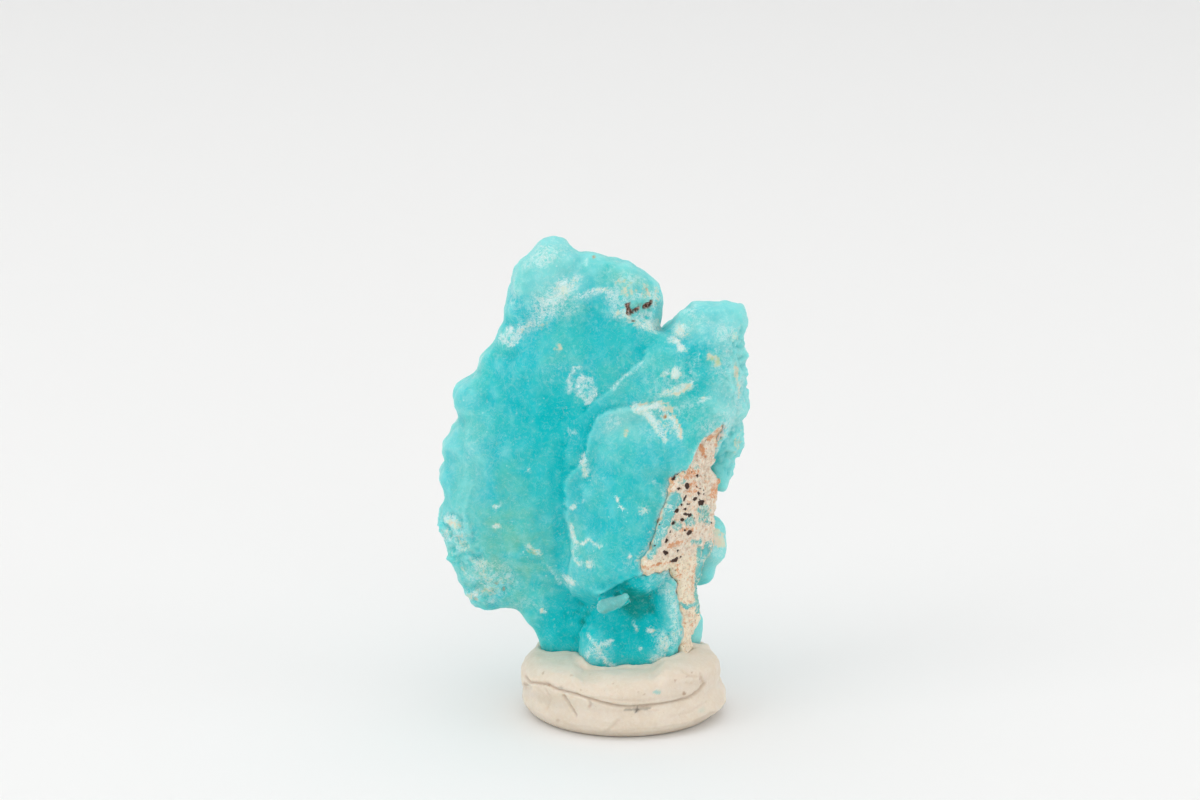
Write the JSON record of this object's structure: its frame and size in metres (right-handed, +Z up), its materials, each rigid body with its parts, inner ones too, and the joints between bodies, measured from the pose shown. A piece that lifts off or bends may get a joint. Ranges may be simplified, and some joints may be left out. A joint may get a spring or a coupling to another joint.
{
  "type": "raw hemimorphite specimen",
  "caption": "Blue botryoidal crust on pale pitted matrix rock, standing upright in a wound coil of mineral putty.",
  "frame": {"origin": "middle of the putty coil's flat underside, on the surface it stands on", "axes": "+Z up, +X to the right and -Y towards the viewer as seen in the picture"},
  "size_m": [0.0414, 0.0266, 0.0631],
  "materials": {
    "hemimorphite": "waxy translucent turquoise blue with white druse and tan stains",
    "matrix_rock": "rough pitted cream rock with rust and dark brown specks",
    "putty": "satin hand-rolled cream putty"
  },
  "bodies": {
    "root": {"hemimorphite": "hemimorphite", "matrix_rock": "matrix_rock", "putty_coil": "putty"}
  },
  "joints": []
}
